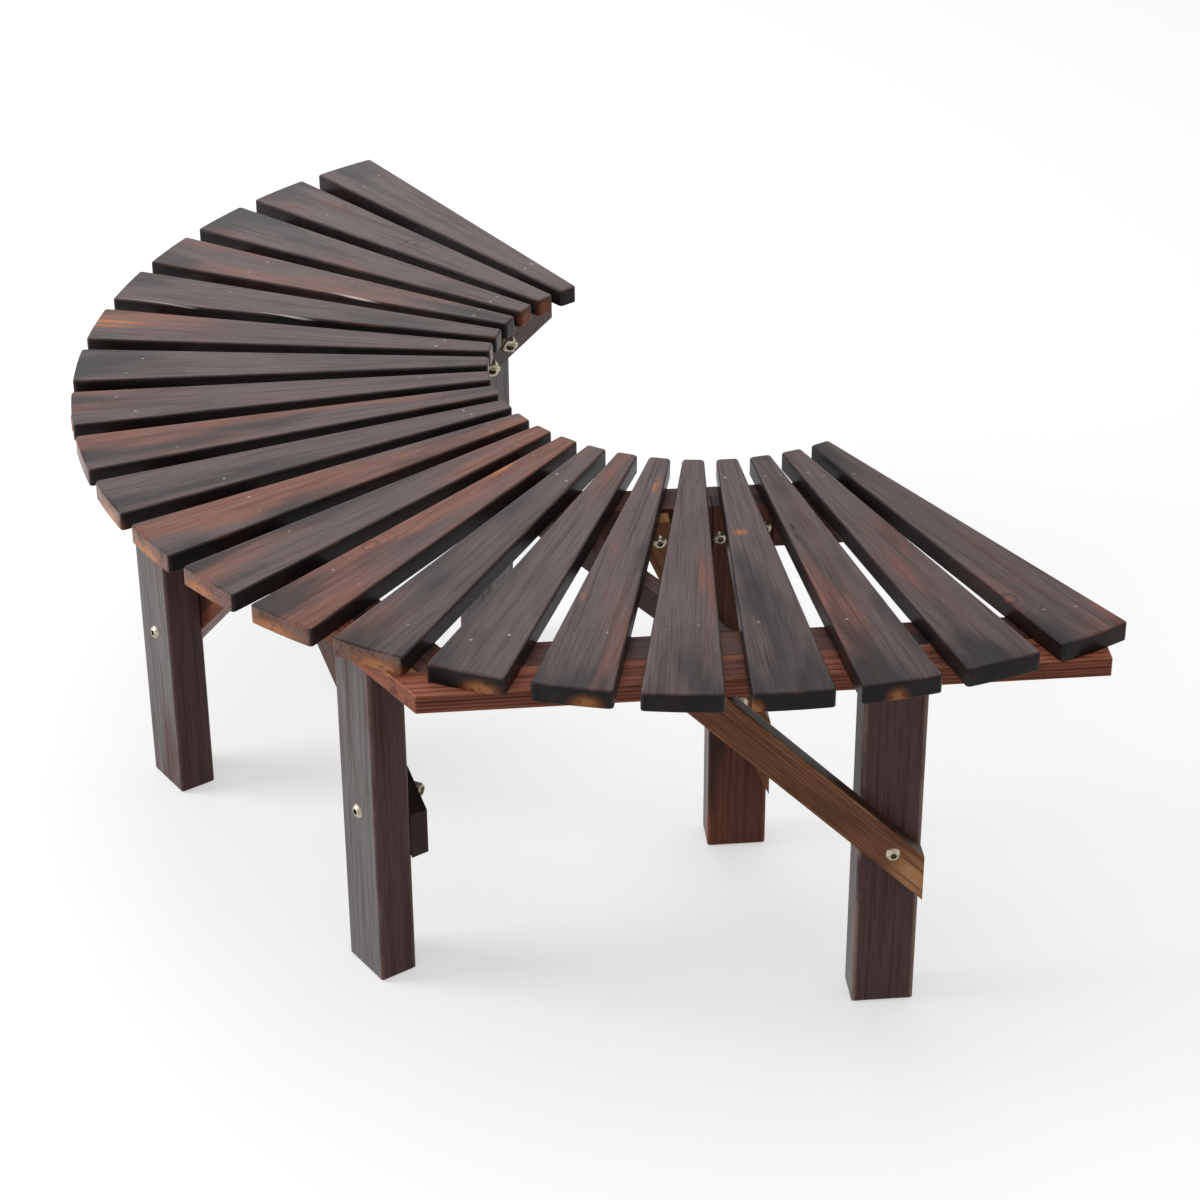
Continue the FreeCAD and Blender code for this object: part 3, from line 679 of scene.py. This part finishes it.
SHADED_BROWN_SIDE = Vector((1, 0, 0))
SHADED_BROWN_SHARE = 0.8
LEGS = {"outer_leg_middle_left": ("middle", SOOTY_LEG), "outer_leg_middle_right": ("middle", LEG),
        "outer_leg_left": ("left", LEG), "outer_leg_right": ("right", WORN_LEG),
        "inner_leg_left": ("left", LEG), "inner_leg_right": ("right", WARM_LEG)}
for label, (section, look) in LEGS.items():
    # painted shade, with a browner tone, on the outer legs' faces towards +X
    faces = [(SHADED_BROWN_SIDE, LEG_BROWN, SHADED_BROWN_SHARE, False)] if label.startswith("outer") else []
    dress(Board(label, upright(section), look, next(seeds), faces))

# The braces are darker on their upward faces, and the flame missed the feet of the two on the outer
# faces

UPWARD_DARKENING = 0.8
FOOT_PAST_BOLT = 0.026
FOOT_REACH = (0.045, 0.012, 0.034)
for side, sign in SIDE_SIGN.items():
    for kind, section, slope, look in (("brace_middle_", "middle", BRACE_SLOPE, DARK_BRACE),
                                       ("brace_outer_", side, BRACE_SLOPE, BRACE),
                                       ("brace_inner_", side, INNER_BRACE_SLOPE, BRACE)):
        grain = sloping(section, sign * slope)
        top = grain.to_3x3() @ Vector((0, 0, 1))
        marks = []
        if kind == "brace_outer_":
            along = sign * (SIDE_LEG_ALONG + FOOT_PAST_BOLT)
            foot = axes(SECTION_TURN[side], OUTER_FACE + BRACE_THICK, along,
                        BRACE_BOLT_HIGH - FOOT_PAST_BOLT)
            marks.append((PATCH, grain.inverted() @ foot.to_translation(), FOOT_REACH))
        # the upward face is darkened towards SOOT's colour
        faces = [(top, SOOT, UPWARD_DARKENING, False)]
        dress(Board(kind + side, grain, look, next(seeds), faces, marks), BRACE_ROUNDING)
    dress(Board("tie_board_" + side, along_section("middle"), BEAM, next(seeds)))

# Plated steel: changes of bright and dull zones per metre, scratches, and the roughness

PLATE_CHANGES = 240.0
NAIL_CHANGES = 14.0
DULL_SPAN = (0.40, 0.62)
DULL_MATT = 0.25
PLATE_MATT = 0.22
METALLIC = 0.8
SCRATCHES = ((900.0, 1500.0, 1100.0), 2.0)
SCRATCH_RELIEF = {"Strength": 0.15, "Distance": 0.0002}


def zinc(name, plating, dull, changes=PLATE_CHANGES):
    shader = Shader(bpy.data.materials.new(name))
    place = shader.add("TexCoord").outputs["Object"]
    stain = shader.noise(place, (changes, changes, changes))
    scratches = shader.noise(place, *SCRATCHES)
    tone = shader.mix(shader.between(stain, *DULL_SPAN), plating, dull)
    matt = shader.math("ADD", shader.times(stain, DULL_MATT), PLATE_MATT)
    bump = shader.add("Bump", {**SCRATCH_RELIEF, "Height": scratches}).outputs[0]
    return shader.skin({"Base Color": tone, "Roughness": matt, "Metallic": METALLIC,
                        "Normal": bump})


YELLOW_ZINC = zinc("yellow_zinc", colour(0.62, 0.56, 0.44), colour(0.40, 0.34, 0.24))
# painted shade for the hollow of the sockets, dark so the recess reads as shaded
SOCKET_SHADE = zinc("socket_painted_shade", colour(0.12, 0.10, 0.07), colour(0.03, 0.025, 0.02))
NAIL_STEEL = zinc("nail_steel", colour(0.26, 0.21, 0.18), colour(0.05, 0.035, 0.03), NAIL_CHANGES)

# Lathe work for the fasteners

HEX_SIDES = 6
SMOOTH_UNDER = 32
SORTING_DIGITS = 4


def hexagon_reach(flats, angle):
    """How far a hexagon's rim is from its centre at an angle.

    flats is half the hexagon's width over its flats.
    """
    sector = 2 * math.pi / HEX_SIDES
    return flats / math.cos(angle % sector - sector / 2)


def lathe(target, place, profile, sides, ring_shape=None, hollow=False, shaded_bands=0):
    """Adds a solid turned about x from (outward, radius) pairs.

    ring_shape may bend a ring out of round; a hollow solid's last ring joins its first. The first
    cap and the first bands of faces, as many as asked, take the second material, where there are
    any; on the bolts that material is the sockets' painted shade.
    """
    rings = []
    for index, (outward, radius) in enumerate(profile):
        corners = []
        for step in range(sides):
            angle = 2 * math.pi * step / sides
            reach = ring_shape(index, radius, angle) if ring_shape else radius
            spot = Vector((outward, reach * math.cos(angle), reach * math.sin(angle)))
            corners.append(target.verts.new(place @ spot))
        rings.append(corners)
    pairs = list(zip(rings, rings[1:]))
    if hollow:
        pairs.append((rings[-1], rings[0]))
    for index, (near, far) in enumerate(pairs):
        for step in range(sides):
            after = (step + 1) % sides
            face = target.faces.new((near[step], near[after], far[after], far[step]))
            face.material_index = 1 if index < shaded_bands else 0
    if not hollow:
        target.faces.new(rings[0]).material_index = 1 if shaded_bands else 0
        target.faces.new(reversed(rings[-1]))


def piece_of(name, mesh, materials):
    """A visible piece made from a mesh of closed solids."""
    bmesh.ops.recalc_face_normals(mesh, faces=mesh.faces)
    data = bpy.data.meshes.new(name)
    mesh.to_mesh(data)
    mesh.free()
    for face in data.polygons:
        face.use_smooth = True
    data.set_sharp_from_angle(angle=math.radians(SMOOTH_UNDER))
    made = linked(name, data)
    for material in materials:
        data.materials.append(material)
    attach(made, "root")
    return made


def islands(name):
    """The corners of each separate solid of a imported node."""
    mesh = bmesh.new()
    mesh.from_mesh(nodes[name].data)
    bmesh.ops.remove_doubles(mesh, verts=mesh.verts, dist=SAME_CORNER)
    waiting = set(mesh.verts)
    found = []
    while waiting:
        queue = [waiting.pop()]
        group = list(queue)
        while queue:
            for edge in queue.pop().link_edges:
                for vertex in edge.verts:
                    if vertex in waiting:
                        waiting.remove(vertex)
                        queue.append(vertex)
                        group.append(vertex)
        found.append(np.array([vertex.co for vertex in group]))
    mesh.free()
    return sorted(found, key=lambda corners: tuple(np.round(corners.mean(0), SORTING_DIGITS)))


def turned_axes(corners):
    """Axes of one packed fastener, whose x runs from its outward end to the tree, and its length.

    Its section is the one in whose axes it is as wide as it is high.
    """
    best = None
    for turn in SECTION_TURN.values():
        inward = Vector((-math.cos(math.radians(turn)), -math.sin(math.radians(turn)), 0))
        side = np.array(inward.cross(Vector((0, 0, 1))))
        off_round = abs(np.ptp(corners @ side) - np.ptp(corners[:, 2]))
        if best is None or off_round < best[0]:
            best = (off_round, inward, side, turn)
    off_round, inward, side, turn = best
    reach = corners @ np.array(inward)
    across = corners @ side
    middle = inward * float(reach.min()) + Vector(side) * float((across.min() + across.max()) / 2)
    middle.z = float((corners[:, 2].min() + corners[:, 2].max()) / 2)
    spin = Matrix.Rotation(math.radians(turn + 180), 4, "Z")
    return Matrix.Translation(middle) @ spin, float(np.ptp(reach))


def remade(name, node, maker, materials):
    """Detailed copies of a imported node's fasteners, which stand for that node."""
    mesh = bmesh.new()
    for corners in islands(node):
        place, length = turned_axes(corners)
        maker(mesh, place, length)
    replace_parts(piece_of(name, mesh, materials), node)


# Bolts, with a hexagonal socket in a domed head; the socket is painted dark as painted shade

BOLT_SIDES = 36
HEAD_RADIUS = 0.0073
HEAD_HIGH = 0.0045
SHANK_RADIUS = 0.004
SOCKET_RADIUS = 0.0034
SOCKET_DEEP = 0.0030
SOCKET_FLOOR = 0.5
SOCKET_LIP = 1.2
LIP_DROP = 0.0001
SOCKET_RINGS = 3
DOME_STEPS = 8
THREAD_PITCH = 0.00125
THREAD_DEEP = 0.0005
THREAD_LONG = 0.016
THREAD_ROOT = 0.5
THREAD_CREST = 0.95


def dome_profile(radius, high):
    """From the bottom of the socket, over the dome, to the rim on the wood at x = high."""
    ball = (radius ** 2 + high ** 2) / (2 * high)
    rim = math.acos((ball - high) / ball)
    lip = math.asin(SOCKET_RADIUS * SOCKET_LIP / ball)
    profile = [(SOCKET_DEEP, SOCKET_RADIUS * SOCKET_FLOOR), (SOCKET_DEEP, SOCKET_RADIUS),
               (ball * (1 - math.cos(lip)) + LIP_DROP, SOCKET_RADIUS)]
    for step in range(DOME_STEPS + 1):
        angle = lip + (rim - lip) * step / DOME_STEPS
        profile.append((ball * (1 - math.cos(angle)), ball * math.sin(angle)))
    return profile


def socket_shape(index, radius, angle):
    """A hexagon for the socket's rings, and a circle for the others."""
    if index >= SOCKET_RINGS:
        return radius
    return hexagon_reach(radius * math.cos(math.pi / HEX_SIDES), angle)


def bolt(mesh, place, length):
    profile = dome_profile(HEAD_RADIUS, HEAD_HIGH)
    profile += [(HEAD_HIGH, SHANK_RADIUS), (length - THREAD_LONG, SHANK_RADIUS)]
    for turn in range(int(THREAD_LONG / THREAD_PITCH)):
        start = length - THREAD_LONG + turn * THREAD_PITCH
        profile.append((start + THREAD_PITCH * THREAD_ROOT, SHANK_RADIUS - THREAD_DEEP))
        profile.append((start + THREAD_PITCH * THREAD_CREST, SHANK_RADIUS))
    profile.append((length, SHANK_RADIUS - THREAD_DEEP))
    lathe(mesh, place, profile, BOLT_SIDES, socket_shape, shaded_bands=SOCKET_RINGS - 1)


# Washers and nuts, with broken edges

BORE_RADIUS = 0.0043
WASHER_RADIUS = 0.009
WASHER_EDGE = 0.0003
WASHER_SIDES = 40
NUT_FLATS = 0.0065
NUT_CHAMFER = 0.0010
NUT_END = 0.97
NUT_STEPS = 3
NUT_SIDES = 48


def washer(mesh, place, length):
    profile = [(0, BORE_RADIUS), (0, WASHER_RADIUS - WASHER_EDGE), (WASHER_EDGE, WASHER_RADIUS),
               (length - WASHER_EDGE, WASHER_RADIUS), (length, WASHER_RADIUS - WASHER_EDGE),
               (length, BORE_RADIUS)]
    lathe(mesh, place, profile, WASHER_SIDES, hollow=True)


def nut_shape(index, radius, angle):
    """The hexagon, cut by the cone that rounds its corners at both ends."""
    return min(radius, hexagon_reach(NUT_FLATS, angle))


def nut(mesh, place, length):
    small = NUT_FLATS * NUT_END
    corner = NUT_FLATS / math.cos(math.pi / HEX_SIDES)
    profile = [(0, BORE_RADIUS)]
    for step in range(NUT_STEPS + 1):
        radius = small + (corner - small) * step / NUT_STEPS
        profile.append((NUT_CHAMFER * step / NUT_STEPS, radius))
    for outward, radius in reversed(profile[1:]):
        profile.append((length - outward, radius))
    profile.append((length, BORE_RADIUS))
    lathe(mesh, place, profile, NUT_SIDES, nut_shape, hollow=True)


for kind in ("brace", "inner_lap"):
    remade(kind + "_bolts_detailed", kind + "_bolts", bolt, (YELLOW_ZINC, SOCKET_SHADE))
    remade(kind + "_washers_detailed", kind + "_washers", washer, (YELLOW_ZINC,))
    remade(kind + "_nuts_detailed", kind + "_nuts", nut, (YELLOW_ZINC,))

# Nails of the slats, in pairs along the middle of each straight beam

NAIL_RADIUS = 0.0016
NAIL_PROUD = 0.00004
NAIL_PROFILE = ((0.003, NAIL_RADIUS * 0.55), (0.0004, NAIL_RADIUS * 0.6), (0.0003, NAIL_RADIUS),
                (0, NAIL_RADIUS), (-NAIL_PROUD * 0.7, NAIL_RADIUS * 0.8),
                (-NAIL_PROUD, NAIL_RADIUS * 0.35))
NAIL_SIDES = 16
NAIL_SHARE = 0.25
NAIL_WANDER = 0.004
NAIL_SEED = 7
DOWN = Matrix.Rotation(math.pi / 2, 4, "Y")


def nearest_section(turn):
    return min(SECTION_TURN, key=lambda section: abs(SECTION_TURN[section] - turn))


chance = random.Random(NAIL_SEED)
mesh = bmesh.new()
for number in range(1, SLAT_COUNT + 1):
    section = nearest_section(slat_turn(number))
    away = math.radians(slat_turn(number) - SECTION_TURN[section])
    for face in (OUTER_FACE, INNER_FACE):
        outward = face - FRAME_DEEP / 2
        reach = outward / math.cos(away)
        wide = SLAT_INNER_WIDE + 2 * slat_taper * (reach - INNER_RADIUS)
        for sign in (-1, 1):
            wander = chance.uniform(-NAIL_WANDER, NAIL_WANDER)
            off = sign * wide * NAIL_SHARE + wander * wide / SLAT_OUTER_WIDE
            shifted = outward + chance.uniform(-NAIL_WANDER, NAIL_WANDER)
            spot = axes(SECTION_TURN[section], shifted, outward * math.tan(away) + off, SEAT_HIGH)
            lathe(mesh, spot @ DOWN, NAIL_PROFILE, NAIL_SIDES)
piece_of("slat_nails", mesh, (NAIL_STEEL,))

# Screws of the outer laps and the tie boards, and larger ones in the heads of the middle and
# outer braces. OUTWARD and INWARD say which way a screw runs into the wood.

SCREW_RADIUS = 0.0045
SCREW_PROUD = 0.0024
SCREW_PROFILE = ((-SCREW_PROUD * 0.3, 0.0004), (-SCREW_PROUD * 0.35, 0.0012),
                 (-SCREW_PROUD, 0.0016), (-SCREW_PROUD * 0.85, 0.0030),
                 (-SCREW_PROUD * 0.4, 0.0041), (0, SCREW_RADIUS), (0, 0.0022), (0.010, 0.0020))
SCREW_SIDES = 20
COACH_RADIUS = 0.0068
COACH_HIGH = 0.0042
COACH_SHANK = ((COACH_HIGH, 0.003), (COACH_HIGH + 0.012, 0.0028))
LAP_SCREW_APART = 0.044
LAP_SCREW_DROP = 0.031
LAP_SCREW_STAGGER = 0.009
TIE_SCREW_INSET = 0.025
TIE_SCREW_APART = 0.045
OUTWARD = Matrix.Identity(4)
INWARD = Matrix.Rotation(math.pi, 4, "Z")

brace_screw_high = SLAT_UNDER - (RAIL_THICK + OUTER_BEAM_HIGH) / 2
brace_screw_rise = brace_screw_high - BRACE_BOLT_HIGH


def screw(mesh, section, outward, along, high, way):
    place = axes(SECTION_TURN[section], outward, along, high) @ way
    lathe(mesh, place, SCREW_PROFILE, SCREW_SIDES)


def coach_screw(mesh, section, outward, along, way):
    """A screw with a bolt's head, at the head of a brace on the wood's surface."""
    profile = dome_profile(COACH_RADIUS, COACH_HIGH) + list(COACH_SHANK)
    place = axes(SECTION_TURN[section], outward, along, brace_screw_high) @ way
    raised = place @ Matrix.Translation((-COACH_HIGH, 0, 0))
    # the socket takes the painted shade
    lathe(mesh, raised, profile, BOLT_SIDES, socket_shape, shaded_bands=SOCKET_RINGS - 1)


mesh = bmesh.new()
for side, sign in SIDE_SIGN.items():
    for section, leg_along in (("middle", MIDDLE_LEG_ALONG), (side, SIDE_LEG_ALONG)):
        for end in (-1, 1):
            along = sign * (leg_along + end * LAP_SCREW_APART / 2)
            high = SLAT_UNDER - LAP_SCREW_DROP + end * LAP_SCREW_STAGGER / 2
            screw(mesh, section, OUTER_BACK, along, high, OUTWARD)
    along = sign * (MIDDLE_LEG_ALONG - brace_screw_rise)
    coach_screw(mesh, "middle", OUTER_BACK - BRACE_THICK, along, OUTWARD)
    along = sign * (SIDE_LEG_ALONG - brace_screw_rise)
    coach_screw(mesh, side, OUTER_FACE + BRACE_THICK, along, INWARD)
    for step in (0, 1):
        along = sign * (TIE_START + TIE_SCREW_INSET + step * TIE_SCREW_APART)
        screw(mesh, "middle", INNER_FACE + TIE_THICK, along, SLAT_UNDER - TIE_HIGH / 2, INWARD)
piece_of("frame_screws", mesh, (YELLOW_ZINC, SOCKET_SHADE))

# Floor, pale and faintly glowing to the camera, and grey to the light that it throws back

FLOOR_HALF = 14.0
FLOOR_BOUNCE = 0.45
FLOOR_PALE = 0.62
FLOOR_GLOW = 0.52
WHITE = grey(1)
floor_data = bpy.data.meshes.new("floor")
corners = [(x * FLOOR_HALF, y * FLOOR_HALF, 0) for x, y in ((-1, -1), (1, -1), (1, 1), (-1, 1))]
floor_data.from_pydata(corners, [], [(0, 1, 2, 3)])
floor = linked("floor", floor_data)
floor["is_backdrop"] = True


def shown_rays(shader):
    """1 for rays from the camera, and from metal or glass, which show the background too."""
    rays = shader.add("LightPath").outputs
    shown = rays["Is Camera Ray"]
    for name in ("Is Glossy Ray", "Is Transmission Ray"):
        shown = shader.math("MAXIMUM", shown, rays[name])
    return shown


shader = Shader(bpy.data.materials.new("floor_white"))
bounce = shader.add("BsdfDiffuse", {"Color": grey(FLOOR_BOUNCE)})
pale = shader.add("BsdfDiffuse", {"Color": grey(FLOOR_PALE)})
glow = shader.add("Emission", {"Color": WHITE, "Strength": FLOOR_GLOW})
bright = shader.add("AddShader", {0: pale.outputs[0], 1: glow.outputs[0]})
seen = shader.add("MixShader", {0: shown_rays(shader), 1: bounce.outputs[0], 2: bright.outputs[0]})
shader.add("OutputMaterial", {"Surface": seen.outputs[0]})
floor_data.materials.append(shader.owner)

# Studio light: a soft sky, which shows as plain white, and three wide lamps

SKY_LEVEL = 0.42
SEAT_MIDDLE = (0, 0, 0.35)
world = bpy.data.worlds.new("studio")
bpy.context.scene.world = world
shader = Shader(world)
sky = shader.add("Background", {"Color": WHITE, "Strength": SKY_LEVEL})
backdrop = shader.add("Background", {"Color": WHITE})
seen = shader.add("MixShader", {0: shown_rays(shader), 1: sky.outputs[0], 2: backdrop.outputs[0]})
shader.add("OutputWorld", {"Surface": seen.outputs[0]})


def lamp(name, place, target, power, wide):
    data = bpy.data.lights.new(name, "AREA")
    data.energy = power
    data.size = wide
    made = linked(name, data)
    made.location = place
    made.rotation_mode = "QUATERNION"
    made.rotation_quaternion = (Vector(target) - Vector(place)).to_track_quat("-Z", "Y")


lamp("key", (-2.1, -3.1, 2.0), SEAT_MIDDLE, power=100, wide=2.0)
lamp("top", (-0.3, 0.5, 3.2), SEAT_MIDDLE, power=28, wide=2.6)
lamp("far", (-3.3, 1.6, 2.0), (-0.2, 0, 0.4), power=10, wide=2.0)

# Camera at the photograph's view

VIEW_AZIMUTH = 54.84
VIEW_ELEVATION = 31.058
VIEW_ROLL = -0.336
FOCAL_PIXELS = 3211.3
PHOTO_PIXELS = 1200
SENSOR = 36.0
CAMERA_FROM_TREE = Vector((2.3998, -1.8174, 1.9428))

azimuth, elevation = math.radians(VIEW_AZIMUTH), math.radians(VIEW_ELEVATION)
back = Vector((math.sin(azimuth) * math.cos(elevation), -math.cos(azimuth) * math.cos(elevation),
               math.sin(elevation)))
camera_data = bpy.data.cameras.new("camera")
camera_data.sensor_width = SENSOR
camera_data.lens = FOCAL_PIXELS / PHOTO_PIXELS * SENSOR
camera = linked("camera", camera_data)
camera.location = TREE + CAMERA_FROM_TREE
camera.rotation_mode = "QUATERNION"
roll = Quaternion((0, 0, 1), math.radians(VIEW_ROLL))
camera.rotation_quaternion = (-back).to_track_quat("-Z", "Y") @ roll
bpy.context.scene.camera = camera
bpy.context.scene.view_settings.view_transform = "Standard"

low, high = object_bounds()
